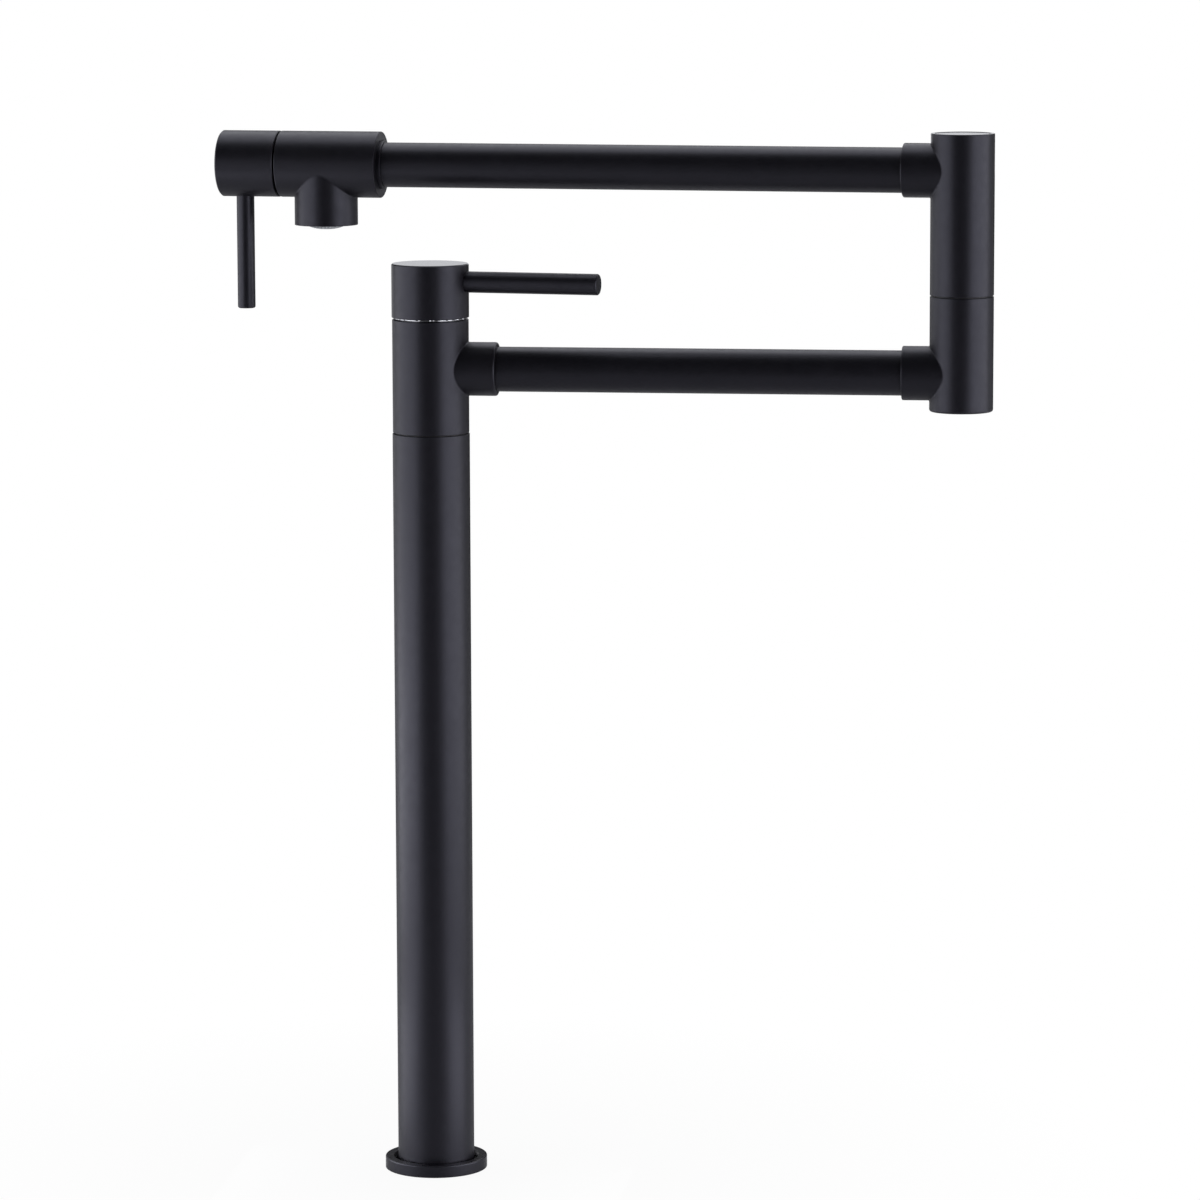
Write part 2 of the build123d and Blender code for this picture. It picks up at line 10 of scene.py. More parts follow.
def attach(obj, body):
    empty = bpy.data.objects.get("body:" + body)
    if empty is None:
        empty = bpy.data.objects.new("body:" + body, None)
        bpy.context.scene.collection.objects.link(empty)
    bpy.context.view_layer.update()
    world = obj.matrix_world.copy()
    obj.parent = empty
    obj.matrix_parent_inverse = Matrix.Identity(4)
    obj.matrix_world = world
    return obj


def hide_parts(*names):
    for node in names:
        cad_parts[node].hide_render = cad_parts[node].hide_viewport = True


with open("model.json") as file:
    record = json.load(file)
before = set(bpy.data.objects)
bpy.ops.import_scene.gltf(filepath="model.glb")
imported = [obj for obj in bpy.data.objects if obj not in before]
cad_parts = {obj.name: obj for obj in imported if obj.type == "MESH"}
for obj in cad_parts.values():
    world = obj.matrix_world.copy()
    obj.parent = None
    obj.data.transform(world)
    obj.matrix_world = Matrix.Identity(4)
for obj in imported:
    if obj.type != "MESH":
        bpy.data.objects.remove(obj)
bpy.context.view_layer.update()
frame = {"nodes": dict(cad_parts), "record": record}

MM = 0.001
FULL_TURN = math.tau
HALF_TURN = math.pi
QUARTER_TURN = math.pi / 2

# Camera: its place in millimetres, its turns in radians, and its focal length in pixels of the photograph
CAMERA_PLACE = (411.19, -2578.95, 659.02)
CAMERA_YAW = -0.1264
CAMERA_PITCH = 0.1418
CAMERA_ROLL = 0.0028
FOCAL_PIXELS = 5336.8
PICTURE_PIXELS = 1200
SENSOR_WIDTH = 36.0
CAMERA_REACH = 100.0

# The sizes of the tap follow by piece, in millimetres. They are those of the part, except for roundings,
# fillets and what a comment calls the scene's own

# Flange. The wider well round the column, with a bevel at its edge, is the scene's own
FLANGE_R = 25.4
FLANGE_TOP = 6.0
FLANGE_FLOOR = 2.6
FLANGE_BORE_R = 14.4
FLANGE_ROUND = 0.7
FLANGE_FOOT_ROUND = 0.3
GASKET_OUTER_R = 23.2
GASKET_INNER_R = 17.0
GASKET_TOP = 1.4
WELL_R = 19.8
BEVEL_LOW = 4.2
BEVEL_R = 21.2
BEVEL_ROUND = 0.2

# Column
RISER_R = 19.0
RISER_INNER_R = 17.5
RISER_TOP = 369.6
RISER_ROUND = 0.3

# Swivel body. Its collar ends 0.5 further out than in the part
BODY_R = 18.8
BODY_BORE_R = 12.96
BODY_LOW = 370.12
BODY_TOP = 425.8
BODY_LOW_ROUND = 0.3
BODY_TOP_ROUND = 0.4
SWIVEL_COLLAR_END = 33.3
SWIVEL_COLLAR_ROUND = 1.2

# Plated ring under the base handle. Its neck and notches are the scene's own
RING_R = 17.9
RING_INNER_R = 12.9
RING_LOW = 425.82
RING_HEIGHT = 0.8
RING_ROUND = 0.08
RING_NECK_R = 15.9
RING_NECK_HEIGHT = 0.42
NOTCH_START_R = 17.0
NOTCH_DEPTH = 0.6
NOTCH_COUNT = 17
SECOND_NOTCH_COUNT = 31
SECOND_NOTCH_SHARE = 0.6
NOTCH_LEVEL = 0.45

# Arms: the heights of their axes, their lengths between turning axes, and the upper arm's turn in degrees
LOWER_Z = 401.5
UPPER_Z = 499.7
LOWER_LENGTH = 260.4
UPPER_LENGTH = 317.8
ARM_SWING = 5.0
TUBE_R = 11.0
TUBE_WALL = 1.1
TUBE_ROUND = 0.2
LOWER_TUBE_START = 18.8
COLLAR_R = 13.2
COLLAR_FILLET = 0.6
SOCKET_R = 11.03
SOCKET_DEPTH = 14.0
BORE_ROUND = 0.15

# Elbow. Its cap lies less deep than in the part
ELBOW_R = 15.5
ELBOW_LOW = 383.1
ELBOW_LOWER_TOP = 439.05
ELBOW_UPPER_LOW = 439.57
ELBOW_TOP = 517.8
ELBOW_FOOT_ROUND = 1.3
ELBOW_ROUND = 0.35
ELBOW_COLLAR_END = 28.7
ELBOW_COLLAR_ROUND = 0.75
ELBOW_SOCKET_FLOOR = ELBOW_COLLAR_END - SOCKET_DEPTH
LOWER_BORE_R = 10.05
LOWER_BORE_FLOOR = 394.5
UPPER_BORE_R = 10.06
CAP_SEAT = 513.1
CAP_R = 13.6
CAP_HEIGHT = 1.6
CAP_RECESS = 0.2
CAP_ROUND = 0.2
CAP_RIM_ROUND = 0.12

# Spout body, by distance from the elbow's axis. Its tapered mouth, its chamber's depth and the lip that hides
# the valve in the gap of the spout handle are the scene's own
SPOUT_R = 16.35
SPOUT_END = 289.4
SPOUT_SEAM = 340.7
SPOUT_ROUND = 0.5
SPOUT_SOCKET_DEPTH = 12.0
MOUTH_R = 11.93
MOUTH_DEPTH = 1.0
LIP_R = 12.9
LIP_INNER_R = 11.8
LIP_DEPTH = 0.4
LIP_REACH = 1.2
CHAMBER_R = 9.0
CHAMBER_DEPTH = 20.0
NOZZLE_R = 15.65
NOZZLE_DROP = 29.9
NOZZLE_FILLET = 0.56
NOZZLE_ROUND = 0.3
NOZZLE_BORE_R = 12.05
NOZZLE_BORE_DEPTH = 9.8
GLAND_R = 11.9
GLAND_HEIGHT = 2.0
GLAND_ROUND = 0.35

# Nose of the aerator. Its dome is fuller than in the part, and its grooves and openings are the scene's own
INSERT_R = 10.4
INSERT_HEIGHT = 6.3
NOSE_HEIGHT = 2.2
NOSE_STEPS = 60
NOSE_POWER = 2.5
CELLS_R = 9.4
CELL_LENGTH = 1.9
CELL_DEPTH = 0.7
CELL_WAVES = 3
CELL_STEEPNESS = 1.8
CELL_WALL = 0.5

# Pin levers, and the base lever's turn in degrees
HUB_R = 19.0
LEVER_SWING = 8.7
BASE_LEVER_Z = 444.4
SPOUT_LEVER_AT = 359.3
LEVER_SEAT = 3.5
LEVER_CHAMFER = 0.6
LEVER_ROUND = 0.25
STUD_ROUND = 0.3

# Shank through the deck, with the inlet at its end. The inlet's tip and both threads are the scene's own
Thread = namedtuple("Thread", "r start stop pitch depth")
SHANK_R = 14.0
SHANK_TOP = 18.6
SHANK_FOOT = -52.0
SHANK_CHAMFER = 1.0
INLET_R = 10.48
INLET_TIP_R = 9.6
INLET_END = -66.0
WATER_BORE_R = 6.5
SUPPLY_SOCKET_R = 8.03
SUPPLY_SOCKET_LOW = 6.6
INLET_THREAD = Thread(INLET_R, start=-65.2, stop=-52.6, pitch=1.814, depth=1.1)
SHANK_THREAD = Thread(SHANK_R, start=-50.9, stop=1.0, pitch=2.0, depth=0.9)
ROWS_PER_PITCH = 8
RIDGE_STEEPNESS = 1.4
RIDGE_SHIFT = 0.2


def add_camera():
    data = bpy.data.cameras.new("camera")
    data.sensor_width = SENSOR_WIDTH
    data.lens = FOCAL_PIXELS / PICTURE_PIXELS * SENSOR_WIDTH
    data.clip_end = CAMERA_REACH
    camera = bpy.data.objects.new("camera", data)
    bpy.context.collection.objects.link(camera)
    turn = Matrix.Rotation(-CAMERA_YAW, 4, "Z")
    turn = turn @ Matrix.Rotation(QUARTER_TURN - CAMERA_PITCH, 4, "X")
    turn = turn @ Matrix.Rotation(-CAMERA_ROLL, 4, "Z")
    camera.matrix_world = Matrix.Translation(Vector(CAMERA_PLACE) * MM) @ turn
    bpy.context.scene.camera = camera


# Shader nodes
def set_sockets(tree, node, sockets):
    """Gives each named socket of a node its value, or links it to another node's output."""
    for name, value in sockets.items():
        if isinstance(value, bpy.types.NodeSocket):
            tree.links.new(value, node.inputs[name])
        else:
            node.inputs[name].default_value = value


def add_node(tree, kind, sockets=None, **settings):
    node = tree.nodes.new(kind)
    for name, value in settings.items():
        setattr(node, name, value)
    set_sockets(tree, node, sockets or {})
    return node


def calculate(tree, operation, *values, clamp=False):
    sockets = dict(enumerate(values))
    node = add_node(tree, "ShaderNodeMath", sockets, operation=operation, use_clamp=clamp)
    return node.outputs["Value"]


def remap(tree, value, given, wanted):
    """Maps a value from one range to another, and holds it there."""
    sockets = {
        "Value": value,
        "From Min": given[0],
        "From Max": given[1],
        "To Min": wanted[0],
        "To Max": wanted[1],
    }
    return add_node(tree, "ShaderNodeMapRange", sockets).outputs["Result"]


def noise(tree, scale, stretch, detail=3.0, roughness=0.5):
    """Noise on the object's own coordinates, whose scale is in waves per metre."""
    place = add_node(tree, "ShaderNodeTexCoord").outputs["Object"]
    mapping = add_node(tree, "ShaderNodeMapping", {"Vector": place, "Scale": stretch})
    sockets = {
        "Vector": mapping.outputs["Vector"],
        "Scale": scale,
        "Detail": detail,
        "Roughness": roughness,
    }
    return add_node(tree, "ShaderNodeTexNoise", sockets).outputs["Fac"]


def new_material(name):
    material = bpy.data.materials.new(name)
    material.use_nodes = True
    return material, material.node_tree, material.node_tree.nodes["Principled BSDF"]


# Finishes by slot: a mottled colour from dark to light, the range of its roughness, and a fine grain with
# its waves per metre and its depth in metres. mottle is the mottling's waves per metre, and stretch
# multiplies all waves along each axis
FINISHES = {
    "black_coat": {
        "dark": (0.0030, 0.0026, 0.0040),
        "light": (0.0042, 0.0037, 0.0055),
        "rough": (0.38, 0.44),
        "grain": 1500,
        "depth": 0.000012,
        "sockets": {"Specular Tint": (0.84, 0.83, 1.0, 1)},
    },
    "brass": {
        "dark": (0.62, 0.42, 0.17),
        "light": (0.72, 0.52, 0.24),
        "rough": (0.24, 0.36),
        "grain": 1800,
        "depth": 0.00001,
        "mottle": 60,
        "stretch": (0.1, 0.1, 2.5),
        "sockets": {"Metallic": 1.0},
    },
    "plated": {
        "dark": (0.50, 0.50, 0.53),
        "light": (0.60, 0.60, 0.63),
        "rough": (0.16, 0.24),
        "grain": 900,
        "depth": 0.000002,
        "sockets": {"Metallic": 1.0},
    },
    "steel": {
        "dark": (0.42, 0.42, 0.43),
        "light": (0.52, 0.52, 0.53),
        "rough": (0.28, 0.4),
        "grain": 2200,
        "depth": 0.00001,
        "mottle": 80,
        "stretch": (3, 0.2, 3),
        "sockets": {"Metallic": 1.0},
    },
    "rubber": {
        "dark": (0.012, 0.012, 0.012),
        "light": (0.02, 0.02, 0.02),
        "rough": (0.7, 0.85),
        "grain": 1200,
        "depth": 0.00003,
    },
    "disc_ceramic": {
        "dark": (0.78, 0.77, 0.72),
        "light": (0.86, 0.85, 0.81),
        "rough": (0.15, 0.25),
        "grain": 1500,
        "depth": 0.000003,
    },
    "dark_plastic": {
        "dark": (0.015, 0.015, 0.017),
        "light": (0.024, 0.024, 0.027),
        "rough": (0.45, 0.6),
        "grain": 1500,
        "depth": 0.00001,
    },
    "grey_plastic": {
        "dark": (0.42, 0.43, 0.45),
        "light": (0.50, 0.51, 0.53),
        "rough": (0.28, 0.38),
        "grain": 900,
        "depth": 0.000006,
        "mottle": 160,
        "sockets": {
            "Subsurface Weight": 0.3,
            "Subsurface Scale": 0.001,
            "Subsurface Radius": (1, 1, 1),
        },
    },
}
# The middle range of a noise covers all of a finish's colours and roughness
NOISE_RANGE = (0.3, 0.7)
# One wave of the roughness is as long as so many waves of the grain
TONE_WAVES = 6
# As a face turns away over this range, the roughness of a grazing gloss falls by these shares
GRAZING_RANGE = (0.6, 0.95)
GRAZING_SHARES = (1.0, 0.3)


def surface(name, dark, light, rough, grain, depth, mottle=90, stretch=(1, 1, 1), sockets=None):
    """Material with a finish, from its row in FINISHES."""
    material, tree, shader = new_material(name)
    colours = add_node(tree, "ShaderNodeValToRGB", {"Fac": noise(tree, mottle, stretch)})
    for element, place, colour in zip(colours.color_ramp.elements, NOISE_RANGE, (dark, light)):
        element.position = place
        element.color = (*colour, 1)
    tone = noise(tree, grain / TONE_WAVES, stretch)
    fine = noise(tree, grain, stretch, detail=2.0, roughness=0.6)
    bump = add_node(tree, "ShaderNodeBump", {"Height": fine, "Distance": depth, "Strength": 1.0})
    set_sockets(tree, shader, {
        "Base Color": colours.outputs["Color"],
        "Roughness": remap(tree, tone, NOISE_RANGE, rough),
        "Normal": bump.outputs["Normal"],
        **(sockets or {}),
    })
    return material


def add_grazing_gloss(material):
    """Makes a finish smoother where it is seen at a low angle."""
    tree = material.node_tree
    shader = tree.nodes["Principled BSDF"]
    roughness = shader.inputs["Roughness"].links[0].from_socket
    facing = add_node(tree, "ShaderNodeLayerWeight").outputs["Facing"]
    share = remap(tree, facing, GRAZING_RANGE, GRAZING_SHARES)
    set_sockets(tree, shader, {"Roughness": calculate(tree, "MULTIPLY", roughness, share)})


MATERIALS = {slot: surface(slot, **finish) for slot, finish in FINISHES.items()}
for part in frame["record"]["subparts"]:
    node = frame["nodes"][part["node"]]
    node.data.materials.clear()
    node.data.materials.append(MATERIALS[part["material_slot"]])

# The same coat on pieces with faces that were turned flat, which are smoother at a low angle
FACED_COAT = surface("black_coat_faced", **FINISHES["black_coat"])
add_grazing_gloss(FACED_COAT)
frame["nodes"]["base_hub"].material_slots[0].material = FACED_COAT

# Turned pieces. Outlines are (radius, height) in millimetres, counter-clockwise, so that faces look outward
SEGMENTS = 144
ANGLES = [FULL_TURN * j / SEGMENTS for j in range(SEGMENTS)]
CORNER_STEPS = 5
SUPPORT = 1.2
SHARP_ANGLE = 40


def clamped(value):
    return max(0, min(1, value))


def raised(height):
    return Matrix.Translation((0, 0, height))


# Places of the turned pieces
UPRIGHT = Matrix.Identity(4)
LYING = Matrix.Rotation(QUARTER_TURN, 4, "Y")
HANGING = Matrix.Rotation(HALF_TURN, 4, "Y")
ELBOW = Matrix.Translation((LOWER_LENGTH, 0, 0))
UPPER_ARM = ELBOW @ Matrix.Rotation(math.radians(180 - ARM_SWING), 4, "Z")
LOWER_AXIS = raised(LOWER_Z) @ LYING
UPPER_AXIS = UPPER_ARM @ raised(UPPER_Z) @ LYING
BASE_LEVER = Matrix.Rotation(math.radians(-LEVER_SWING), 4, "Z") @ raised(BASE_LEVER_Z) @ LYING
SPOUT_LEVER = UPPER_ARM @ Matrix.Translation((SPOUT_LEVER_AT, 0, UPPER_Z)) @ HANGING


def rounded(*corners):
    """Outline with rounded corners, from corners of (radius, height) or (radius, height, rounding).
    A point just outside each rounding keeps its shading off the faces beside it."""
    points = []
    for i, (r, z, *rounding) in enumerate(corners):
        here = Vector((r, z))
        if not rounding:
            points.append(here)
            continue
        back = (Vector(corners[i - 1][:2]) - here).normalized() * rounding[0]
        ahead = (Vector(corners[(i + 1) % len(corners)][:2]) - here).normalized() * rounding[0]
        points.append(here + back * SUPPORT)
        for k in range(CORNER_STEPS + 1):
            t = k / CORNER_STEPS
            points.append(here + back * (1 - t) ** 2 + ahead * t**2)
        points.append(here + ahead * SUPPORT)
    return points


def skin(bm, rows, closed=False):
    """Faces between rows of vertices, each row closed on itself, or a single vertex."""
    pairs = list(zip(rows, rows[1:]))
    if closed:
        pairs.append((rows[-1], rows[0]))
    for low, high in pairs:
        count = max(len(low), len(high))
        for j in range(count):
            k = (j + 1) % count
            loop = [low[j % len(low)], low[k % len(low)], high[k % len(high)], high[j % len(high)]]
            loop = [v for i, v in enumerate(loop) if v not in loop[:i]]
            if len(loop) > 2:
                bm.faces.new(loop)


def lathe(bm, outline, place=UPRIGHT, shape=None):
    """Turns an outline round the upright axis. shape may change (radius, height) by the angle."""
    rows = []
    for r, z in outline:
        if r == 0:
            rows.append([bm.verts.new(place @ Vector((0, 0, z)))])
            continue
        row = []
        for angle in ANGLES:
            radius, height = shape(r, z, angle) if shape else (r, z)
            at = Vector((radius * math.cos(angle), radius * math.sin(angle), height))
            row.append(bm.verts.new(place @ at))
        rows.append(row)
    skin(bm, rows, closed=outline[0][0] > 0)


def on_cylinder(big_r, r, angle):
    """Point of an upright cylinder that lies at a radius and an angle round the +X axis."""
    side, up = r * math.cos(angle), r * math.sin(angle)
    return Vector((math.sqrt(big_r**2 - side**2), side, up))


def branch(bm, place, big_r, r, fillet, end, end_round, bore_r, depth):
    """A round neck along +X from an upright cylinder, with a fillet at its root and a bore in its end."""
    rows = [[] for _ in range(CORNER_STEPS + 3)]
    for angle in ANGLES:
        root = on_cylinder(big_r, r, angle)
        low = on_cylinder(big_r, r + fillet, angle)
        high = root + Vector((fillet, 0, 0))
        curve = [on_cylinder(big_r, r + fillet * SUPPORT, angle)]
        for k in range(CORNER_STEPS + 1):
            t = k / CORNER_STEPS
            curve.append(low * (1 - t) ** 2 + root * 2 * t * (1 - t) + high * t**2)
        curve.append(root + Vector((fillet * SUPPORT, 0, 0)))
        for row, at in zip(rows, curve):
            row.append(bm.verts.new(place @ at))
    outline = rounded((r, 0), (r, end, end_round), (bore_r, end, BORE_ROUND), (bore_r, end - depth))
    for radius, x in outline[1:]:
        circle = [Vector((x, radius * math.cos(angle), radius * math.sin(angle))) for angle in ANGLES]
        rows.append([bm.verts.new(place @ at) for at in circle])
    skin(bm, rows)


def add_collar(bm, place, big_r, end, end_round):
    """A neck with a socket for an arm tube."""
    branch(bm, place, big_r, COLLAR_R, COLLAR_FILLET, end, end_round, SOCKET_R, SOCKET_DEPTH)


def finish_piece(name, bm, body, node, slot="black_coat", finish=None):
    """Turns the mesh, in millimetres, into a piece that rides on a body and stands for a node."""
    bmesh.ops.transform(bm, matrix=Matrix.Scale(MM, 4), verts=bm.verts)
    mesh = bpy.data.meshes.new(name)
    bm.to_mesh(mesh)
    bm.free()
    mesh.shade_smooth()
    mesh.set_sharp_from_angle(angle=math.radians(SHARP_ANGLE))
    piece = bpy.data.objects.new(name, mesh)
    bpy.context.collection.objects.link(piece)
    mesh.materials.append(finish or MATERIALS[slot])
    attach(piece, body)
    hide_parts(node)


def make_turned(name, body, node, outline, place=UPRIGHT, shape=None, **looks):
    """A piece turned from one outline."""
    bm = bmesh.new()
    lathe(bm, outline, place, shape)
    finish_piece(name, bm, body, node, **looks)


def make_flange():
    outline = rounded(
        (FLANGE_BORE_R, 0),
        (GASKET_INNER_R, 0),
        (GASKET_INNER_R, GASKET_TOP),
        (GASKET_OUTER_R, GASKET_TOP),
        (GASKET_OUTER_R, 0),
        (FLANGE_R, 0, FLANGE_FOOT_ROUND),
        (FLANGE_R, FLANGE_TOP, FLANGE_ROUND),
        (BEVEL_R, FLANGE_TOP, BEVEL_ROUND),
        (WELL_R, BEVEL_LOW),
        (WELL_R, FLANGE_FLOOR),
        (FLANGE_BORE_R, FLANGE_FLOOR),
    )
    make_turned("flange_turned", "riser", "base_flange", outline, finish=FACED_COAT)


def make_riser():
    outline = rounded(
        (RISER_INNER_R, FLANGE_FLOOR),
        (RISER_R, FLANGE_FLOOR),
        (RISER_R, RISER_TOP, RISER_ROUND),
        (RISER_INNER_R, RISER_TOP),
    )
    make_turned("riser_turned", "riser", "riser_tube", outline)


def make_swivel():
    bm = bmesh.new()
    outline = rounded(
        (BODY_BORE_R, BODY_LOW),
        (BODY_R, BODY_LOW, BODY_LOW_ROUND),
        (BODY_R, BODY_TOP, BODY_TOP_ROUND),
        (BODY_BORE_R, BODY_TOP),
    )
    lathe(bm, outline)
    add_collar(bm, raised(LOWER_Z), BODY_R, SWIVEL_COLLAR_END, SWIVEL_COLLAR_ROUND)
    finish_piece("swivel_turned", bm, "lower_arm", "swivel_body")


def make_tube(name, body, place, low, high):
    inner = TUBE_R - TUBE_WALL
    outline = rounded((inner, low), (TUBE_R, low, TUBE_ROUND), (TUBE_R, high, TUBE_ROUND), (inner, high))
    make_turned(name, body, body + "_tube", outline, place)


def make_lower_elbow():
    bm = bmesh.new()
    outline = rounded(
        (0, ELBOW_LOW),
        (ELBOW_R, ELBOW_LOW, ELBOW_FOOT_ROUND),
        (ELBOW_R, ELBOW_LOWER_TOP, ELBOW_ROUND),
        (LOWER_BORE_R, ELBOW_LOWER_TOP),
        (LOWER_BORE_R, LOWER_BORE_FLOOR),
        (0, LOWER_BORE_FLOOR),
    )
    lathe(bm, outline, ELBOW)
    root = ELBOW @ Matrix.Rotation(HALF_TURN, 4, "Z") @ raised(LOWER_Z)
    add_collar(bm, root, ELBOW_R, ELBOW_COLLAR_END, ELBOW_COLLAR_ROUND)
    finish_piece("elbow_lower_turned", bm, "lower_arm", "elbow_lower")


def make_upper_elbow():
    bm = bmesh.new()
    outline = rounded(
        (UPPER_BORE_R, ELBOW_UPPER_LOW),
        (ELBOW_R, ELBOW_UPPER_LOW, ELBOW_ROUND),
        (ELBOW_R, ELBOW_TOP, ELBOW_ROUND),
        (CAP_R, ELBOW_TOP, CAP_RIM_ROUND),
        (CAP_R, CAP_SEAT),
        (UPPER_BORE_R, CAP_SEAT),
    )
    lathe(bm, outline, UPPER_ARM)
    add_collar(bm, UPPER_ARM @ raised(UPPER_Z), ELBOW_R, ELBOW_COLLAR_END, ELBOW_COLLAR_ROUND)
    finish_piece("elbow_upper_turned", bm, "upper_arm", "elbow_upper", finish=FACED_COAT)


def make_cap():
    top = ELBOW_TOP - CAP_RECESS
    low = top - CAP_HEIGHT
    outline = rounded((0, low), (CAP_R, low), (CAP_R, top, CAP_ROUND), (0, top))
    make_turned("elbow_cap_turned", "upper_arm", "elbow_top_cap", outline, UPPER_ARM, finish=FACED_COAT)


def make_spout():
    bm = bmesh.new()
    outline = rounded(
        (MOUTH_R, SPOUT_END, BORE_ROUND),
        (SPOUT_R, SPOUT_END, SPOUT_ROUND),
        (SPOUT_R, SPOUT_SEAM - LIP_DEPTH, SPOUT_ROUND),
        (LIP_R, SPOUT_SEAM - LIP_DEPTH),
        (LIP_R, SPOUT_SEAM + LIP_REACH),
        (LIP_INNER_R, SPOUT_SEAM + LIP_REACH),
        (LIP_INNER_R, SPOUT_SEAM),
        (CHAMBER_R, SPOUT_SEAM),
        (CHAMBER_R, SPOUT_SEAM - CHAMBER_DEPTH),
        (SOCKET_R, SPOUT_END + SPOUT_SOCKET_DEPTH),
        (MOUTH_R, SPOUT_END + MOUTH_DEPTH),
    )
    lathe(bm, outline, UPPER_AXIS)
    root = UPPER_AXIS @ raised(UPPER_LENGTH)
    branch(
        bm, root, SPOUT_R, NOZZLE_R, fillet=NOZZLE_FILLET, end=NOZZLE_DROP, end_round=NOZZLE_ROUND,
        bore_r=NOZZLE_BORE_R, depth=NOZZLE_BORE_DEPTH,
    )
    finish_piece("spout_turned", bm, "upper_arm", "spout_body")


def make_gland():
    low = SPOUT_END - GLAND_HEIGHT
    outline = rounded((TUBE_R, low), (GLAND_R, low, GLAND_ROUND), (GLAND_R, SPOUT_END), (TUBE_R, SPOUT_END))
    make_turned("gland_turned", "upper_arm", "gland_ring", outline, UPPER_AXIS)


def make_aerator():
    """Domed plastic nose with ring grooves and rows of small openings."""
    rim = UPPER_Z - NOZZLE_DROP
    outline = []
    for k in range(NOSE_STEPS + 1):
        share = k / NOSE_STEPS
        outline.append((INSERT_R * share, rim - NOSE_HEIGHT * (1 - share**NOSE_POWER)))
    outline += [(INSERT_R, rim + INSERT_HEIGHT), (0, rim + INSERT_HEIGHT)]

    def cells(r, z, angle):
        if z > rim or r > CELLS_R:
            return r, z
        band = int(r / CELL_LENGTH)
        across = math.sin(HALF_TURN * (r / CELL_LENGTH - band))
        around = abs(math.sin(angle * CELL_WAVES * (band + 1)))
        groove = clamped(across * CELL_STEEPNESS)
        return r, z + CELL_DEPTH * groove * clamped(around * CELL_STEEPNESS - CELL_WALL)

    place = UPPER_ARM @ Matrix.Translation((UPPER_LENGTH, 0, 0))
    make_turned("aerator_nose", "upper_arm", "aerator_insert", outline, place, cells, slot="grey_plastic")


def make_lever(body, place, r, reach, hub_r, stud_r, stud_length):
    """Pin lever with a chamfered tip, and the stud that holds it in its hub."""
    start = hub_r - LEVER_SEAT
    outline = rounded(
        (0, start - stud_length),
        (stud_r, start - stud_length, STUD_ROUND),
        (stud_r, start),
        (r, start),
        (r, reach - LEVER_CHAMFER, LEVER_ROUND),
        (r - LEVER_CHAMFER, reach, LEVER_ROUND),
        (0, reach),
    )
    make_turned(body + "_turned", body, body + "_rod", outline, place)


def thread_rows(thread):
    """Rows of an outline that lie close enough together to carry a thread."""
    length = thread.stop - thread.start
    count = round(length / thread.pitch * ROWS_PER_PITCH)
    return [(thread.r, thread.start + length * k / count) for k in range(count + 1)]


def make_shank():
    """Threaded shank with the inlet thread at its end, both cut as real helical ridges."""
    outline = [
        (WATER_BORE_R, INLET_END),
        (INLET_TIP_R, INLET_END),
        *thread_rows(INLET_THREAD),
        (INLET_R, SHANK_FOOT),
        (SHANK_R - SHANK_CHAMFER, SHANK_FOOT),
        (SHANK_R, SHANK_FOOT + SHANK_CHAMFER),
        *thread_rows(SHANK_THREAD),
        (SHANK_R, SHANK_TOP),
        (SUPPLY_SOCKET_R, SHANK_TOP),
        (SUPPLY_SOCKET_R, SUPPLY_SOCKET_LOW),
        (WATER_BORE_R, SUPPLY_SOCKET_LOW),
    ]

    def cut(r, z, angle):
        for thread in (INLET_THREAD, SHANK_THREAD):
            if thread.start <= z <= thread.stop:
                wave = abs(2 * ((z / thread.pitch - angle / FULL_TURN) % 1) - 1)
                fade = min(1, (z - thread.start) / thread.pitch, (thread.stop - z) / thread.pitch)
                return r - thread.depth * fade * clamped(wave * RIDGE_STEEPNESS - RIDGE_SHIFT), z
        return r, z

    make_turned("shank_threaded", "riser", "mounting_shank", outline, shape=cut, slot="brass")


def make_plated_ring():
    """Bright lip in the gap under the base handle, with shallow notches round its edge, on a narrow neck."""
    lip_low = RING_LOW + RING_NECK_HEIGHT
    top = RING_LOW + RING_HEIGHT
    outline = rounded(
        (RING_INNER_R, RING_LOW),
        (RING_NECK_R, RING_LOW),
        (RING_NECK_R, lip_low),
        (RING_R, lip_low, RING_ROUND),
        (RING_R, top, RING_ROUND),
        (RING_INNER_R, top),
    )

    def notch(r, z, angle):
        wave = math.sin(angle * NOTCH_COUNT) + SECOND_NOTCH_SHARE * math.sin(angle * SECOND_NOTCH_COUNT)
        deep = r > NOTCH_START_R and wave > NOTCH_LEVEL
        return (r - NOTCH_DEPTH if deep else r), z

    make_turned("plated_ring_notched", "riser", "plated_ring", outline, shape=notch, slot="plated")


make_flange()
make_riser()
make_swivel()
make_tube("lower_tube_turned", "lower_arm", LOWER_AXIS, LOWER_TUBE_START, LOWER_LENGTH - ELBOW_SOCKET_FLOOR)
make_tube("upper_tube_turned", "upper_arm", UPPER_AXIS, ELBOW_SOCKET_FLOOR, SPOUT_END + SPOUT_SOCKET_DEPTH)
make_lower_elbow()
make_upper_elbow()
make_cap()
make_spout()
make_gland()
make_aerator()
make_lever("base_lever", BASE_LEVER, r=5.2, reach=86.0, hub_r=HUB_R, stud_r=3.0, stud_length=7.0)
make_lever("spout_lever", SPOUT_LEVER, r=4.4, reach=71.9, hub_r=SPOUT_R, stud_r=2.5, stud_length=6.0)
make_shank()
make_plated_ring()

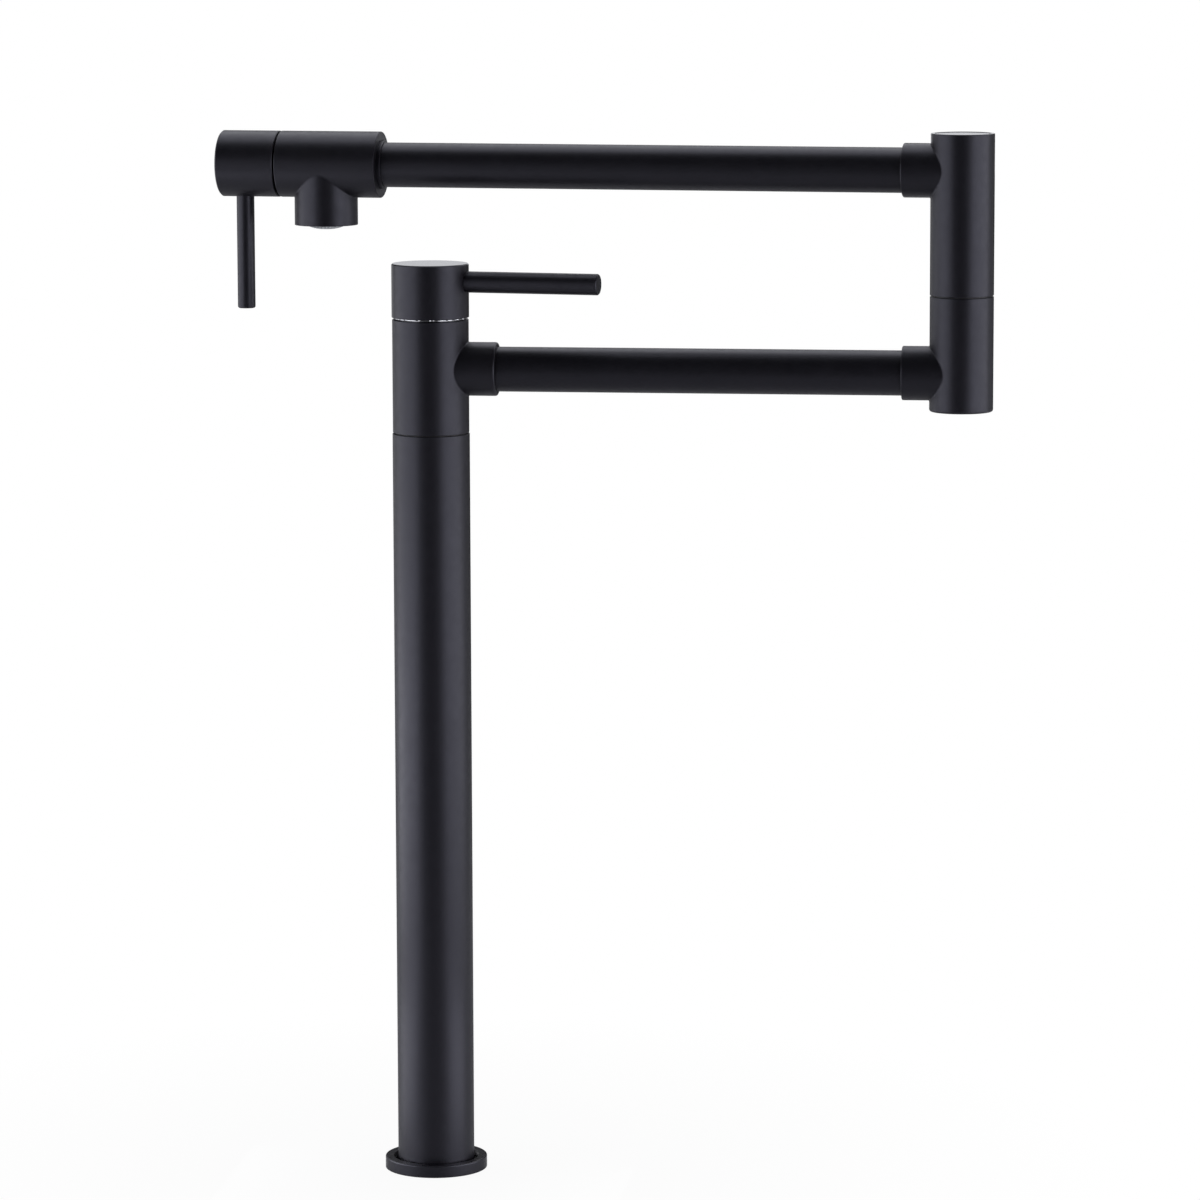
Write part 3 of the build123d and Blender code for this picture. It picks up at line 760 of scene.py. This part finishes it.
# Studio. Its lengths are in metres
WHITE = (1, 1, 1, 1)
ROOM_COLOUR = (0.9, 0.93, 1, 1)
ROOM_STRENGTH = 0.015
FLOOR_COLOUR = (0.5, 0.5, 0.5, 1)
FLOOR_ROUGHNESS = 0.9
FLOOR_SIZE = 12.0
FLOOR_GAP = 0.0002
SHADOW_REACH = 0.35
SHADOW_SHARE = 0.06
# Steeper down than this, a ray from above meets the floor first
UNDER_FLOOR = -0.1
# The photographed coat mirrors a dark room, so reflections show only a little of the white background
GLOSS_SHARE = 0.04

# Lamps: name, place, the point that it faces, its width and height, and its power in watts
MIDDLE = (0.1, 0, 0.3)
LAMPS = (
    ("left_panel", (-1.4, -0.45, 0.4), MIDDLE, (2.6, 1.0), 16),
    ("left_rim", (-1.21, 1.27, 0.4), MIDDLE, (1.3, 1.0), 2.0),
    ("left_strip", (-0.55, -0.15, 0.09), (0, 0, 0.15), (1.0, 0.14), 1.3),
    ("left_foot", (-0.1, -0.03, 0.034), (0, -0.03, 0.034), (0.12, 0.066), 0.03),
    ("right_panel", (1.7, -0.5, 0.4), MIDDLE, (2.4, 1.0), 19),
    ("right_rim", (1.56, 1.22, 0.4), MIDDLE, (1.3, 1.0), 0.9),
    ("right_strip", (0.75, -0.15, 0.09), (0, 0, 0.15), (1.2, 0.14), 1.0),
    ("right_foot", (0.1, -0.04, 0.034), (0, -0.04, 0.034), (0.09, 0.066), 0.024),
    ("top_panel", (0.1, 0.7, 1.7), MIDDLE, (2.4, 1.8), 23),
    ("back_panel", (0.05, 0.9, 0.58), (0.05, 0, 0.5), (0.7, 0.28), 0.56),
)
LAMP_COLOUR = (0.95, 0.96, 1)


def sees_white(tree):
    """Share of the white background that a ray sees: all of it by eye and through clear things."""
    path = add_node(tree, "ShaderNodeLightPath").outputs
    seen = calculate(tree, "MULTIPLY_ADD", path["Is Glossy Ray"], GLOSS_SHARE, path["Is Camera Ray"])
    return calculate(tree, "ADD", seen, path["Is Transmission Ray"], clamp=True)


def add_floor():
    """Pale floor that the camera sees white, apart from a faint shadow near the tap."""
    bpy.ops.mesh.primitive_plane_add(size=FLOOR_SIZE, location=(0, 0, -FLOOR_GAP))
    floor = bpy.context.object
    floor.name = "floor"
    material, tree, shader = new_material("floor")
    set_sockets(tree, shader, {"Base Color": FLOOR_COLOUR, "Roughness": FLOOR_ROUGHNESS})
    place = add_node(tree, "ShaderNodeTexCoord").outputs["Object"]
    reach = add_node(tree, "ShaderNodeMapping", {"Vector": place, "Scale": (1 / SHADOW_REACH,) * 3})
    sockets = {"Vector": reach.outputs["Vector"]}
    fading = add_node(tree, "ShaderNodeTexGradient", sockets, gradient_type="SPHERICAL")
    white = remap(tree, fading.outputs["Fac"], (0, 1), (1, 1 - SHADOW_SHARE))
    glow = add_node(tree, "ShaderNodeEmission", {"Color": WHITE, "Strength": 1.0})
    mix = add_node(tree, "ShaderNodeMixShader", {
        "Fac": calculate(tree, "MULTIPLY", sees_white(tree), white),
        1: shader.outputs["BSDF"],
        2: glow.outputs["Emission"],
    })
    set_sockets(tree, tree.nodes["Material Output"], {"Surface": mix.outputs["Shader"]})
    floor.data.materials.append(material)


def add_world():
    """White to the eye, a dark room to the tap, and white again under the floor, where the clamp is."""
    world = bpy.data.worlds.new("world")
    bpy.context.scene.world = world
    world.use_nodes = True
    tree = world.node_tree
    tree.nodes.clear()
    seen = add_node(tree, "ShaderNodeBackground", {"Color": WHITE, "Strength": 1.0})
    lit = add_node(tree, "ShaderNodeBackground", {"Color": ROOM_COLOUR, "Strength": ROOM_STRENGTH})
    heading = add_node(tree, "ShaderNodeTexCoord").outputs["Generated"]
    upward = add_node(tree, "ShaderNodeSeparateXYZ", {"Vector": heading}).outputs["Z"]
    below = calculate(tree, "LESS_THAN", upward, UNDER_FLOOR)
    mix = add_node(tree, "ShaderNodeMixShader", {
        "Fac": calculate(tree, "MAXIMUM", below, sees_white(tree)),
        1: lit.outputs["Background"],
        2: seen.outputs["Background"],
    })
    add_node(tree, "ShaderNodeOutputWorld", {"Surface": mix.outputs["Shader"]})


def add_lamp(name, place, target, size, watts):
    data = bpy.data.lights.new(name, "AREA")
    data.shape = "RECTANGLE"
    data.size, data.size_y = size
    data.energy = watts
    data.color = LAMP_COLOUR
    lamp = bpy.data.objects.new(name, data)
    bpy.context.collection.objects.link(lamp)
    lamp.location = place
    lamp.rotation_euler = (Vector(target) - Vector(place)).to_track_quat("-Z", "Y").to_euler()
    lamp.visible_camera = False


add_floor()
add_world()
for lamp in LAMPS:
    add_lamp(*lamp)
add_camera()
bpy.context.scene.view_settings.view_transform = "Standard"
